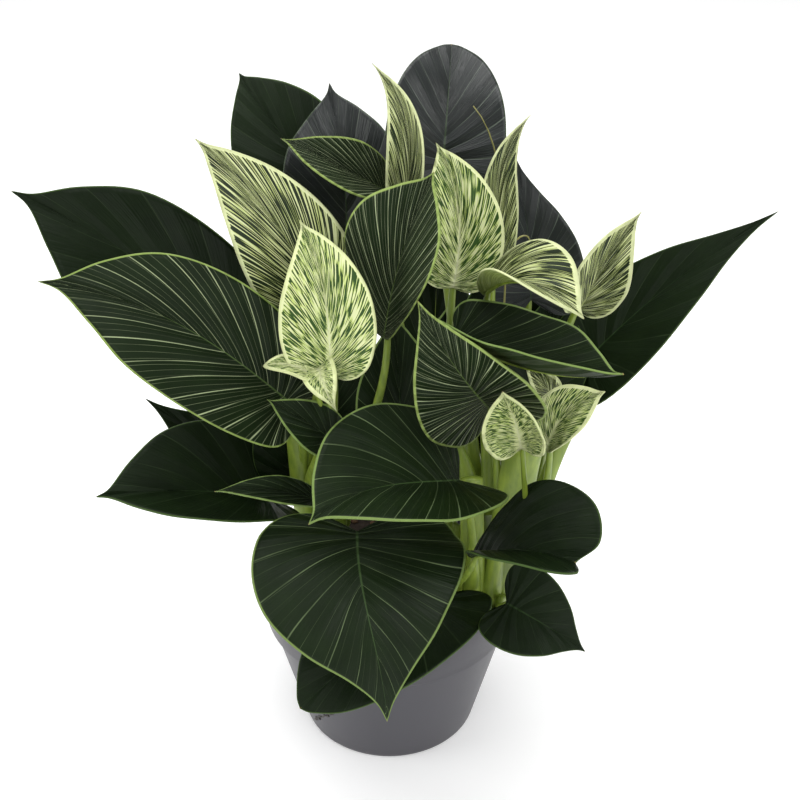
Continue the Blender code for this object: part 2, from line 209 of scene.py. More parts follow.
def scattered(seed, count, sizes, flatness):
    """Small rough lumps lying half sunk in the compost, in one mesh."""
    dice = random.Random(seed)
    shape = bmesh.new()
    for _ in range(count):
        reach, turn = (COMPOST_EDGE - 3 * MM) * math.sqrt(dice.random()), dice.uniform(0, 2 * math.pi)
        size = dice.uniform(*sizes) * MM
        made = bmesh.ops.create_icosphere(shape, subdivisions=1, radius=size / 2)["verts"]
        stretch = (dice.uniform(0.8, 1.5), dice.uniform(0.6, 1.0), flatness * dice.uniform(0.7, 1.2))
        height = heaped(reach / COMPOST_EDGE) + 0.1 * size
        spin = Matrix.Rotation(dice.uniform(0, 6.28), 4, "Z")
        spin = spin @ Matrix.Rotation(dice.uniform(-0.5, 0.5), 4, "X")
        place = Matrix.Translation((reach * math.cos(turn), reach * math.sin(turn), height))
        for vert in made:
            vert.co = Vector([a * b * dice.uniform(0.85, 1.1) for a, b in zip(vert.co, stretch)])
        bmesh.ops.transform(shape, matrix=place @ spin, verts=made)
    return shape


# Expanded perlite: glassy white grains with a dusty surface, dulled by the peat round them.
perlite, tree, shader = new_material("expanded_perlite")
place = add_node(tree, "TexCoord", {}).outputs["Object"]
dust = add_node(tree, "TexNoise", {"Vector": place, "Scale": 900})
chalk = add_node(tree, "MixRGB", {"Fac": dust, "Color1": colour("#8d8678"), "Color2": colour("#e9e5da")})
tree.links.new(chalk.outputs[0], shader.inputs["Base Color"])
shader.inputs["Roughness"].default_value = 0.85
finished_piece("perlite", scattered(4, PERLITE_COUNT, (1.0, 2.4), 0.9), perlite, "compost")

# Pine bark chips: flat brown splinters, with fibres of 2 mm.
bark, tree, shader = new_material("pine_bark_chips")
place = add_node(tree, "TexCoord", {}).outputs["Object"]
fibre = add_node(tree, "TexNoise", {"Vector": place, "Scale": 500, "Detail": 5})
brown = add_node(tree, "MixRGB", {"Fac": fibre, "Color1": colour("#1d120b"), "Color2": colour("#6a4a2e")})
tree.links.new(brown.outputs[0], shader.inputs["Base Color"])
shader.inputs["Roughness"].default_value = 0.8
finished_piece("bark_chips", scattered(9, BARK_COUNT, (2.5, 6.5), 0.35), bark, "compost")


# The leaves' places. A leaf is a midrib that bends from its base to its tip, with two half blades that
# fold up from it and cup. Side veins leave the midrib and sweep forward to the margin.
# Half an outline, from the base round to the tip: how far out, as a share of the half width, and how far
# along the midrib, as a share of its length. Less than 0 is behind the base.
FORMS = {
    "heart": (
        (0, 0), (0.42, -0.11), (0.82, -0.09), (1, 0.10), (0.92, 0.34),
        (0.63, 0.57), (0.30, 0.75), (0.09, 0.89), (0, 1),
    ),
    "oval": (
        (0, 0), (0.42, 0.00), (0.82, 0.10), (1, 0.30), (0.93, 0.51),
        (0.64, 0.71), (0.28, 0.87), (0.07, 0.95), (0, 1),
    ),
    "broad": (
        (0, 0), (0.38, -0.07), (0.74, -0.02), (0.96, 0.20), (1, 0.44),
        (0.84, 0.66), (0.45, 0.82), (0.10, 0.93), (0, 1),
    ),
    "spade": (
        (0, 0), (0.25, 0.06), (0.52, 0.20), (0.82, 0.38), (1, 0.56),
        (0.88, 0.74), (0.46, 0.87), (0.12, 0.95), (0, 1),
    ),
    "dome": (
        (0, 0), (0.36, -0.20), (0.76, -0.22), (1, 0.02), (0.99, 0.32),
        (0.82, 0.60), (0.54, 0.82), (0.19, 0.96), (0, 1),
    ),
    "cordate": (
        (0, 0), (0.32, -0.17), (0.72, -0.18), (1, 0.02), (0.95, 0.28),
        (0.68, 0.53), (0.33, 0.75), (0.10, 0.90), (0, 1),
    ),
    "spoon": (
        (0, 0), (0.18, 0.10), (0.38, 0.24), (0.64, 0.40), (0.90, 0.60),
        (1, 0.82), (0.80, 1.02), (0.36, 1.10), (0, 1),
    ),
    "lance": (
        (0, 0), (0.50, 0.04), (0.88, 0.18), (1, 0.38), (0.86, 0.57),
        (0.54, 0.75), (0.22, 0.88), (0.06, 0.95), (0, 1),
    ),
}
VEIN_START, VEIN_SWEEP = 3.2, 1.12  # how the side veins crowd towards the base, and how they curve
MARGIN_WAVES = 2.2
CROWNS = {"left": ((-30, 4), 30 * MM), "right": ((40, -13), 55 * MM)}
CROWN_RADIUS, STALK_RADIUS, STALK_TIP_RADIUS, GAP = 8 * MM, 2.8 * MM, 1.3 * MM, 0.4 * MM
BLADE_THICKNESS = 0.7 * MM


def direction(bearing, rise):
    """A unit vector. Bearing is 0 to the front and 90 to the right, and rise is above level, in degrees."""
    turn, up = math.radians(bearing), math.radians(rise)
    return Vector((math.sin(turn) * math.cos(up), -math.cos(turn) * math.cos(up), math.sin(up)))


def between(pair, share):
    """A value that runs evenly from the first of a pair to the second."""
    return pair[0] + (pair[1] - pair[0]) * share


def through(points, share):
    """A smooth curve through the points of an outline, read at a share of the way along it."""
    place = share * (len(points) - 1)
    index = min(int(place), len(points) - 2)
    part = place - index
    b, c = Vector(points[index]), Vector(points[index + 1])
    a = Vector(points[index - 1]) if index else 2 * b - c
    d = Vector(points[index + 2]) if index + 2 < len(points) else 2 * c - b
    bend, turn = 2 * a - 5 * b + 4 * c - d, 3 * b - a - 3 * c + d
    return 0.5 * (2 * b + (c - a) * part + bend * part**2 + turn * part**3)


def cubic(points, share):
    """A Bezier curve's point and its tangent."""
    a, b, c, d = points
    rest = 1 - share
    place = rest**3 * a + 3 * rest**2 * share * b + 3 * rest * share**2 * c + share**3 * d
    return place, 3 * rest**2 * (b - a) + 6 * rest * share * (c - b) + 3 * share**2 * (d - c)


class Leaf:
    """A leaf's place and bend, from the centre of the pot's rim. Lengths are in mm and angles in degrees.

    A pair gives a value near the base and one near the tip: bow lifts the midrib towards the face,
    sweep bends it clockwise as the face is seen, fold raises both halves from it, and cup rolls them.
    """

    def __init__(self, name, crown, ring, root, base, tip, face, width, form="heart", kind="dark",
                 bow=(4, 6), sweep=(0, 0), fold=(18, 10), cup=(8, 8), twist=0, wave=0.02):
        self.name, self.crown, self.ring, self.root, self.kind = name, crown, ring, root, kind
        self.form, self.half = FORMS[form], width * MM / 2
        self.fold = [math.radians(angle) for angle in fold]
        self.cup = [math.radians(angle) for angle in cup]
        self.twist, self.wave, self.face = math.radians(twist), wave, direction(*face)
        rim = Vector((0, 0, POT_HEIGHT))
        self.base, end = rim + Vector(base) * MM, rim + Vector(tip) * MM
        chord = end - self.base
        normal = (self.face - self.face.project(chord)).normalized()
        side = chord.normalized().cross(normal)
        near = self.base + chord / 3 + (bow[0] * normal + sweep[0] * side) * MM * 4 / 3
        far = self.base + 2 * chord / 3 + (bow[1] * normal + sweep[1] * side) * MM * 4 / 3
        self.midrib = (self.base, near, far, end)

    def frame(self, along):
        """The midrib's point, tangent and normal. It runs on straight behind the base, for the lobes."""
        place, slope = cubic(self.midrib, max(along, 0))
        place = place + slope * min(along, 0)
        tangent = slope.normalized()
        normal = (self.face - self.face.project(tangent)).normalized()
        return place, tangent, Matrix.Rotation(self.twist * (along - 0.5), 3, tangent) @ normal

    def point(self, row, column):
        """A point of the blade. Rows follow the side veins, and columns run from -1 to 1 across it."""
        edge = through(self.form, row)
        rib = row**VEIN_START
        share = abs(column)
        along = rib + (edge.y - rib) * share**VEIN_SWEEP
        out = edge.x * share
        place, tangent, normal = self.frame(along)
        fold, cup = between(self.fold, along), between(self.cup, along)
        if abs(cup) < 0.01:
            level, lift = out * math.cos(fold), out * math.sin(fold)
        else:
            level = (math.sin(fold + cup * out) - math.sin(fold)) / cup
            lift = (math.cos(fold) - math.cos(fold + cup * out)) / cup
        lift += self.wave * out**2 * math.sin(2 * math.pi * MARGIN_WAVES * along + math.copysign(1, column))
        return place + self.half * (tangent.cross(normal) * math.copysign(level, column) + normal * lift)


leaves = [
    Leaf("far_left", "left", "inner", -130, (-63, 25, 101), (-144, -5, 182), (-15, 30), 64, "broad",
         sweep=(4, 7)),
    Leaf("left_striped", "left", "inner", -85, (-38, -34, 105), (-123, -54, 166), (0, 30), 53, "broad",
         "pinstriped", bow=(3, 8), sweep=(6, 11)),
    Leaf("low_left", "left", "outer", -75, (-52, -8, 42), (-117, -45, 68), (0, 60), 60, "broad",
         fold=(35, 30)),
    Leaf("low_left_rear", "left", "outer", -115, (-59, 22, 33), (-105, 5, 85), (-10, 40), 42),
    Leaf("front_heart", "left", "outer", 15, (-12, -55, 58), (0, -102, 2), (0, 45), 84, kind="veined",
         bow=(20, 12), sweep=(3, -2), fold=(3, 5), cup=(-15, -8)),
    Leaf("centre_front", "right", "outer", -14, (28, -53, 81), (-27, -100, 94), (-10, 65), 64, "broad",
         "veined", fold=(25, 15), sweep=(0, 6)),
    Leaf("pale_oval", "left", "inner", -40, (-21, -52, 127), (-31, -38, 183), (0, 25), 37, "oval", "cream",
         sweep=(3, 5)),
    Leaf("pale_upper_left", "left", "inner", 5, (-22, -22, 126), (-70, -16, 206), (5, 15), 43, "oval",
         "flecked", sweep=(8, 8)),
    Leaf("centre_striped", "left", "inner", 50, (-1, -35, 134), (17, -36, 200), (-35, 15), 44, "spade",
         "striped", fold=(30, 20)),
    Leaf("back_left", "left", "inner", 140, (-17, 0, 155), (-22, 15, 218), (-5, 10), 48, "broad", "charcoal",
         sweep=(4, 2)),
    Leaf("pale_right", "right", "inner", -70, (25, -30, 153), (18, -18, 205), (0, 15), 34, "oval", "cream",
         sweep=(4, 6)),
    Leaf("pale_curled", "right", "inner", 20, (36, -39, 154), (67, -78, 163), (-10, 70), 32, "spade",
         "flecked", bow=(10, 10), fold=(50, 35)),
    Leaf("narrow_top", "left", "inner", 95, (7, -17, 174), (-5, -12, 232), (-20, 10), 18, "lance", "flecked",
         cup=(50, 30), sweep=(5, 14)),
    Leaf("top", "right", "inner", -160, (22, 20, 182), (26, 52, 224), (0, 20), 50, "dome", "charcoal"),
    Leaf("upper_left", "left", "inner", 185, (-24, 30, 168), (-61, 50, 213), (-5, 10), 50, "oval"),
    Leaf("narrow_right", "right", "inner", 110, (42, -12, 151), (54, 0, 210), (10, 10), 16, "lance",
         "flecked", sweep=(-2, -12)),
    Leaf("right_back", "right", "inner", 155, (60, 15, 127), (52, 30, 184), (15, 10), 46, kind="charcoal"),
    Leaf("right_striped", "right", "inner", 65, (75, -15, 136), (94, -25, 181), (10, 20), 26, "lance",
         "flecked", fold=(30, 20), sweep=(-1, -5)),
    Leaf("far_right", "right", "outer", 130, (85, 15, 97), (153, 0, 172), (-5, 40), 42, sweep=(-3, -3)),
    Leaf("right_folded", "right", "inner", -25, (25, -46, 141), (79, -93, 150), (0, 86), 41, "broad",
         "veined", bow=(-7, -8), fold=(46, 44), cup=(0, 0), sweep=(0, -3)),
    Leaf("heart_up", "right", "outer", 19, (38, -54, 115), (11, -68, 165), (-25, 30), 48, "cordate",
         "striped"),
    Leaf("funnel", "right", "outer", 92, (64, -36, 84), (83, -46, 117), (-30, 25), 24, "spade", "cream",
         fold=(35, 25), cup=(20, 10), sweep=(-3, -4)),
    Leaf("low_right_spoon", "right", "outer", -47, (34, -52, 43), (69, -92, 71), (5, 66), 56, "spoon",
         fold=(44, 40), cup=(0, 0)),
    Leaf("low_right", "right", "outer", 57, (50, -47, 15), (83, -58, -2), (0, 45), 40),
    Leaf("low_front", "right", "outer", -83, (18, -37, 10), (-36, -80, -13), (0, 55), 56, "dome"),
    Leaf("rear_left", "left", "outer", 200, (-48, 48, 78), (-92, 104, 52), (-150, 50), 56),
    Leaf("rear_right", "right", "outer", 175, (56, 42, 70), (100, 98, 44), (150, 50), 54),
    Leaf("rear_middle", "right", "inner", -115, (4, 50, 118), (8, 108, 98), (180, 50), 52, kind="striped"),
]


# The blades: soft leathery leaf tissue about half a millimetre thick, waxy on top. Young leaves open
# cream with green dashes, then turn dark and keep pale pinstripes along the side veins.
def leaf_skin(name, look, under=0.0):
    """Waxy leaf skin, laid along the side veins. under is how far it takes the underside's dull colour."""
    made, tree, shader = new_material(name)
    where = add_node(tree, "SeparateXYZ", {0: add_node(tree, "UVMap", {}, uv_map="Veins")})
    span = add_node(tree, "SeparateXYZ", {0: add_node(tree, "UVMap", {}, uv_map="Span")})
    row, across = where.outputs[0], where.outputs[1]
    from_rib, from_edge = span.outputs[0], span.outputs[1]
    place = add_node(tree, "TexCoord", {}).outputs["Object"]
    rows = add_node(tree, "Math", {0: row, 1: 6.0}, operation="MULTIPLY")
    drawn = add_node(tree, "CombineXYZ", {0: rows, 1: across})
    drift = add_node(tree, "TexNoise", {"Vector": drawn, "Scale": 0.7, "Detail": 1})
    wander = add_node(tree, "Math", {0: drift, 1: 0.055 * look["veins"]}, operation="MULTIPLY")
    blush = add_node(tree, "TexNoise", {"Vector": place, "Scale": 75, "Detail": 2})
    ground, flush = colour(look["ground"]), colour(look["flush"])
    greens = add_node(tree, "MixRGB", {"Fac": blush, "Color1": ground, "Color2": flush})

    # Pinstripes: the tissue over each side vein stays pale, in fine lines with finer ones between them. On
    # the charcoal leaves the grey lines are partly painted sheen on fine folds.
    # The veins stand wider apart towards the tip, where the lines stay as fine.
    reached = add_node(tree, "Math", {0: row}, operation="FRACT")
    widening = add_node(tree, "Math", {0: reached, 1: 1.9, 2: 0.5}, operation="MULTIPLY_ADD")
    lines = []
    for count, strength in ((look["veins"], look["cover"]), (3 * look["veins"] + 1, look["fine"])):
        turns = add_node(tree, "Math", {0: row, 1: count, 2: wander}, operation="MULTIPLY_ADD")
        ridge = add_node(tree, "Math", {0: turns, 1: 0.5}, operation="PINGPONG")
        finer = add_node(tree, "Math", {0: ridge, 1: widening}, operation="MULTIPLY")
        line = add_node(
            tree, "MapRange",
            {"Value": finer, "From Min": 0.25 * look["line"], "From Max": look["line"],
             "To Min": strength, "To Max": 0},
            interpolation_type="SMOOTHSTEP",
        )
        counted = add_node(tree, "Math", {0: row, 1: count}, operation="MULTIPLY")
        strand = add_node(tree, "CombineXYZ", {0: counted, 1: across})
        tone = add_node(tree, "TexNoise", {"Vector": strand, "Scale": 1.7, "Detail": 2})
        vary = add_node(tree, "MapRange", {"Value": tone, "From Min": 0.36, "From Max": 0.58, "To Min": 0.25})
        lines.append(add_node(tree, "Math", {0: line, 1: vary}, operation="MULTIPLY"))
    vein_lines_and_sheen = add_node(tree, "Math", {0: lines[0], 1: lines[1]}, operation="MAXIMUM")
    skin = add_node(tree, "MixRGB", {"Fac": vein_lines_and_sheen, "Color1": greens, "Color2": colour(look["stripe"])})

    # Dashes: on a young leaf the green lies in fine dashes along the veins, on cream. The midrib's band
    # and the margin stay clear of them.
    long_rows = add_node(tree, "Math", {0: row, 1: look["dashes"]}, operation="MULTIPLY")
    long_way = add_node(tree, "Math", {0: across, 1: look["strand"]}, operation="MULTIPLY")
    stretched = add_node(tree, "CombineXYZ", {0: long_rows, 1: long_way})
    dashes = add_node(tree, "TexNoise", {"Vector": stretched, "Scale": 1, "Detail": 1, "Roughness": 0.5})
    if look["green"]:
        band = add_node(tree, "MapRange", {
            "Value": from_rib, "From Min": 0.4 * look["band"], "From Max": look["band"],
            "To Min": 0.16, "To Max": 0,
        })
        hem = add_node(tree, "MapRange", {
            "Value": from_edge, "From Min": look["edge"], "From Max": 2 * look["edge"],
            "To Min": 0.4, "To Max": 0,
        })
        clear = add_node(tree, "Math", {0: band, 1: hem}, operation="ADD")
        limit = add_node(tree, "MapRange", {
            "Value": blush, "From Min": 0.35, "From Max": 0.65,
            "To Min": 0.67 - 0.4 * look["green"], "To Max": 0.63 - 0.4 * look["green"],
        })
        held = add_node(tree, "Math", {0: limit, 1: clear}, operation="ADD")
        over = add_node(tree, "Math", {0: dashes, 1: held}, operation="SUBTRACT")
        marks = add_node(
            tree, "MapRange", {"Value": over, "From Min": -0.015, "From Max": 0.02},
            interpolation_type="SMOOTHSTEP",
        )
        cream, lime = colour(look["stripe"]), colour(look["halo"])
        halo = add_node(tree, "MapRange", {
            "Value": over, "From Min": -0.10, "From Max": -0.01, "To Max": 0.8,
        })
        pale = add_node(tree, "MixRGB", {"Fac": halo, "Color1": cream, "Color2": lime})
        skin = add_node(tree, "MixRGB", {"Fac": marks, "Color1": pale, "Color2": greens})

    # The midrib is a fine line, the margin a pale hem that is partly its own colour and partly a painted
    # highlight along the edge, and the tip dries brown.
    rib = add_node(tree, "MapRange", {
        "Value": from_rib, "From Min": 0.25, "From Max": 0.7, "To Min": 0.75, "To Max": 0,
    })
    ribbed = add_node(tree, "MixRGB", {"Fac": rib, "Color1": skin, "Color2": colour(look["midrib"])})
    # Painted highlight: the hem's pale colour is partly the margin's own and partly a highlight painted all
    # round the edge.
    hem = add_node(tree, "MapRange", {
        "Value": from_edge, "From Min": 0.7 * look["edge"], "From Max": 1.15 * look["edge"],
        "To Min": 0.9, "To Max": 0,
    })
    edged_with_painted_highlight = add_node(tree, "MixRGB", {"Fac": hem, "Color1": ribbed, "Color2": colour(look["margin"])})
    narrow = add_node(tree, "Math", {0: from_rib, 1: from_edge}, operation="ADD")
    near_tip = add_node(tree, "MapRange", {
        "Value": narrow, "From Min": 0.4, "From Max": 1.3, "To Min": 0.8, "To Max": 0,
    })
    end_half = add_node(tree, "Math", {0: reached, 1: 0.8}, operation="GREATER_THAN")
    dry = add_node(tree, "Math", {0: near_tip, 1: end_half}, operation="MULTIPLY")
    tipped = add_node(tree, "MixRGB", {"Fac": dry, "Color1": edged_with_painted_highlight, "Color2": colour("#a98a5c")})
    dulled = add_node(tree, "MixRGB", {"Fac": under, "Color1": tipped, "Color2": colour(look["under"])})
    tree.links.new(dulled.outputs[0], shader.inputs["Base Color"])

    # Wax: satin on top, over tissue that is quilted between the side veins and finely fibrous.
    rough = add_node(tree, "MapRange", {"Value": dashes, "From Min": 0.3, "From Max": 0.7,
                                        "To Min": look["rough"] - 0.06, "To Max": look["rough"] + 0.08})
    tree.links.new(rough.outputs[0], shader.inputs["Roughness"])
    quilts = add_node(tree, "Math", {0: row, 1: look["veins"], 2: wander}, operation="MULTIPLY_ADD")
    hump = add_node(tree, "Math", {0: quilts, 1: 0.5}, operation="PINGPONG")
    relief = add_node(tree, "Bump", {"Height": hump, "Distance": 0.002, "Strength": 0.75})
    fibres = add_node(tree, "Bump", {"Height": dashes, "Distance": 0.0003, "Strength": 0.7, "Normal": relief})
    tree.links.new(fibres.outputs[0], shader.inputs["Normal"])
    shader.inputs["Specular IOR Level"].default_value = look["shine"]
    return made


# Colours; then side veins to a half blade, how strongly they and the finer ones between them show, and how
# much of the space between them a line takes; then dashes along a half, how long they are and how green a
# young leaf is; then the half widths of the midrib's band and the margin in mm; then the wax.
DARK = {
    "ground": "#0a1407", "flush": "#15230c", "stripe": "#3c4b30", "midrib": "#2a3d1f", "margin": "#3f5427",
    "under": "#1c2913", "halo": "#a9c04c", "veins": 9, "cover": 0.35, "fine": 0.05, "line": 0.04,
    "dashes": 200, "strand": 3.6, "green": 0, "band": 1, "edge": 0.4, "rough": 0.45, "shine": 0.12,
}
LOOKS = {
    "dark": DARK,
    # Charcoal leaves: the grey lines are partly pale side veins and partly painted sheen on the fine folds
    # between them.
    "charcoal": DARK | {
        "ground": "#0d1110", "flush": "#1b2120", "stripe": "#5c6659", "margin": "#37452f", "cover": 0.65,
        "fine": 0.5, "rough": 0.34, "shine": 0.36,
    },
    "veined": DARK | {
        "ground": "#0b1507", "flush": "#17260d", "stripe": "#6c7d57",
        "midrib": "#3b502c", "margin": "#758b4c",
        "veins": 10, "cover": 0.75, "fine": 0.3, "line": 0.035, "edge": 0.85,
    },
    "striped": DARK | {
        "ground": "#0b1606", "flush": "#18280d", "stripe": "#b0bd92",
        "midrib": "#5d723c", "margin": "#8fa35a",
        "veins": 23, "cover": 0.95, "fine": 0.6, "line": 0.085, "edge": 0.95,
    },
    "pinstriped": DARK | {
        "ground": "#0b1606", "flush": "#16250c", "stripe": "#a3b086",
        "midrib": "#4d6233", "margin": "#869b52",
        "veins": 15, "cover": 0.9, "fine": 0.4, "line": 0.055, "edge": 0.75,
    },
    "flecked": DARK | {
        "ground": "#0c1606", "flush": "#1b2d0b", "stripe": "#ccd3a0",
        "midrib": "#a8b56a", "margin": "#c4cb98",
        "under": "#8a9c4c", "halo": "#a5b45c", "dashes": 165, "strand": 1.6, "green": 0.47, "band": 0.8,
        "edge": 1.1, "rough": 0.42, "shine": 0.3,
    },
    "cream": DARK | {
        "ground": "#13260b", "flush": "#35591a", "stripe": "#cfd5a2",
        "midrib": "#d2d7ae", "margin": "#c6ce95",
        "under": "#a3b45c", "halo": "#aac152", "dashes": 130, "green": 0.38, "band": 3.0, "edge": 0.9,
        "rough": 0.42, "shine": 0.3,
    },
}
skins = {}
for kind, look in LOOKS.items():
    skins[kind] = (leaf_skin(f"{kind}_leaf_upper_skin", look), leaf_skin(f"{kind}_leaf_underside", look, 0.7))
SLOTS = {
    "striped": "leaf_striped", "pinstriped": "leaf_striped", "flecked": "leaf_pale", "cream": "leaf_pale",
}
BLADE_ROWS, BLADE_COLUMNS = 64, 36


def blade(leaf, number, *nodes):
    """A blade from a grid laid along its side veins, given its thickness at the end."""
    shape = bmesh.new()
    bmesh.ops.create_grid(shape, x_segments=BLADE_ROWS, y_segments=BLADE_COLUMNS, size=0.5)
    veins, span = shape.loops.layers.uv.new("Veins"), shape.loops.layers.uv.new("Span")
    for vert in shape.verts:
        row, column = vert.co.x + 0.5, -2 * vert.co.y
        at, rib = leaf.point(row, column), leaf.point(row, 0)
        edge = leaf.point(row, math.copysign(1, column))
        for loop in vert.link_loops:
            loop[veins].uv = (number + 0.999 * row, column)
            loop[span].uv = ((at - rib).length / MM, (edge - at).length / MM)
    for vert in shape.verts:
        vert.co = leaf.point(vert.co.x + 0.5, -2 * vert.co.y)
    bmesh.ops.remove_doubles(shape, verts=shape.verts, dist=0.01 * MM)
    upper, underside = skins[leaf.kind]
    made = finished_piece(f"{leaf.name}_blade", shape, upper, SLOTS.get(leaf.kind, "leaf_dark"), *nodes)
    made.data.materials.append(underside)
    wall = made.modifiers.new("Thickness", "SOLIDIFY")
    wall.thickness, wall.offset = BLADE_THICKNESS, 0
    wall.material_offset = 1
    return made


for number, leaf in enumerate(leaves):
    blade(leaf, number, f"blade_{leaf.name}")


# The stalks: juicy yellow-green stems with fine flecks, flattened on top. Each clasps the crown with a
# sheath, leans out to its blade, and runs on under it as the midrib.
def stalk_skin(name, light, deep):
    """Stalk skin: smooth and satin, streaked lengthwise, with dark flecks under a millimetre long."""
    made, tree, shader = new_material(name)
    place = add_node(tree, "TexCoord", {}).outputs["Object"]
    drawn = add_node(tree, "Mapping", {"Vector": place, "Scale": (1, 1, 0.12)})
    streaks = add_node(tree, "TexNoise", {"Vector": drawn, "Scale": 520, "Detail": 3})
    oval = add_node(tree, "Mapping", {"Vector": place, "Scale": (1, 1, 0.4)})
    flecks = add_node(tree, "TexNoise", {"Vector": oval, "Scale": 1100})
    skin = add_node(tree, "MixRGB", {"Fac": streaks, "Color1": deep, "Color2": light})
    dark = add_node(tree, "MapRange", {"Value": flecks, "From Min": 0.66, "From Max": 0.72, "To Max": 0.5})
    flecked = add_node(tree, "MixRGB", {"Fac": dark, "Color1": skin, "Color2": colour("#5d7327")})
    tree.links.new(flecked.outputs[0], shader.inputs["Base Color"])
    shader.inputs["Roughness"].default_value = 0.42
    bump = add_node(tree, "Bump", {"Height": streaks, "Distance": 0.0003, "Strength": 0.4})
    tree.links.new(bump.outputs[0], shader.inputs["Normal"])
    return made


INNER_STALKS, INNER_RISE, INNER_CLASP = 8, 82, 0.6
OUTER_RISE, OUTER_CLASP, OUTER_FOOT = 70, 1.1, 4 * MM
STALK_PULL = 0.36
STALK_STEPS, MIDRIB_STEPS, MIDRIB_STEP = 28, 14, 0.055
juicy = stalk_skin("stalk_skin", colour("#90a339"), colour("#4a631f"))


def tube(route, radii, sides):
    """A tube along a list of points, closed at both ends. radii are a pair of half widths at each."""
    shape = bmesh.new()
    count = len(route) + 1
    bmesh.ops.create_grid(shape, x_segments=count, y_segments=sides, size=0.5)
    for vert in shape.verts:
        index = round((vert.co.x + 0.5) * count)
        turn = 2 * math.pi * (vert.co.y + 0.5)
        ring = min(max(index - 1, 0), len(route) - 1)
        here = route[ring]
        ahead = (route[min(ring + 1, len(route) - 1)] - route[max(ring - 1, 0)]).normalized()
        side = ahead.cross(Vector((0, 0, 1)) if abs(ahead.z) < 0.9 else Vector((0, 1, 0))).normalized()
        up = side.cross(ahead)
        wide, deep = (0, 0) if index in (0, count) else radii[ring]
        vert.co = here + side * wide * math.cos(turn) + up * deep * math.sin(turn)
    bmesh.ops.remove_doubles(shape, verts=shape.verts, dist=0.01 * MM)
    bmesh.ops.recalc_face_normals(shape, faces=shape.faces)
    return shape


def stalk_route(leaf):
    """The stalk's centre line as four Bezier points, from its root to just under its blade."""
    place, crown_height = CROWNS[leaf.crown]
    if leaf.ring == "inner":
        out = (STALK_RADIUS + GAP / 2) / math.sin(math.pi / INNER_STALKS)
        height, rise = COMPOST_TOP + crown_height + GAP, INNER_RISE
    else:
        out = CROWN_RADIUS + STALK_RADIUS + GAP
        height, rise = COMPOST_TOP + OUTER_FOOT, OUTER_RISE
    root = Vector((place[0] * MM, place[1] * MM, height)) + direction(leaf.root, 0) * out
    _, tangent, normal = leaf.frame(0)
    arriving = (0.6 * tangent + 0.8 * Vector((0, 0, 1))).normalized()
    if arriving.dot(normal) < 0:
        arriving = (arriving - arriving.project(normal)).normalized()
    tilt = math.sqrt(max(0, 1 - arriving.dot(normal) ** 2))
    end = leaf.base - normal * (BLADE_THICKNESS / 2 + GAP + STALK_TIP_RADIUS * tilt) - tangent * GAP
    reach = (end - root).length * STALK_PULL
    return root, root + direction(leaf.root, rise) * reach, end - arriving * reach, end


def stalk(leaf, girth, *nodes):
    """A stalk, sheathed where it clasps the crown, that runs on under its blade as the midrib."""
    points = stalk_route(leaf)
    clasp = INNER_CLASP if leaf.ring == "inner" else OUTER_CLASP
    route, radii = [], []
    for step in range(STALK_STEPS + 1):
        share = step / STALK_STEPS
        route.append(cubic(points, share)[0])
        sheath = 1 + clasp * max(0, 1 - share / 0.5) ** 0.8
        wide = girth * (STALK_RADIUS + (STALK_TIP_RADIUS - STALK_RADIUS) * share) * sheath
        radii.append((wide, wide * (0.80 + 0.16 * share)))
    for step in range(1, MIDRIB_STEPS + 1):
        along = MIDRIB_STEP * step
        at, _, normal = leaf.frame(along)
        size = girth * STALK_TIP_RADIUS * 0.8 * (1 - along / 0.85)
        route.append(at - normal * (BLADE_THICKNESS / 2 + 0.25 * size))
        radii.append((size, size * 0.8))
    finished_piece(f"{leaf.name}_stalk", tube(route, radii, 14), juicy, "stalk", *nodes)


for leaf in leaves:
    stalk(leaf, 1, f"stalk_{leaf.name}")


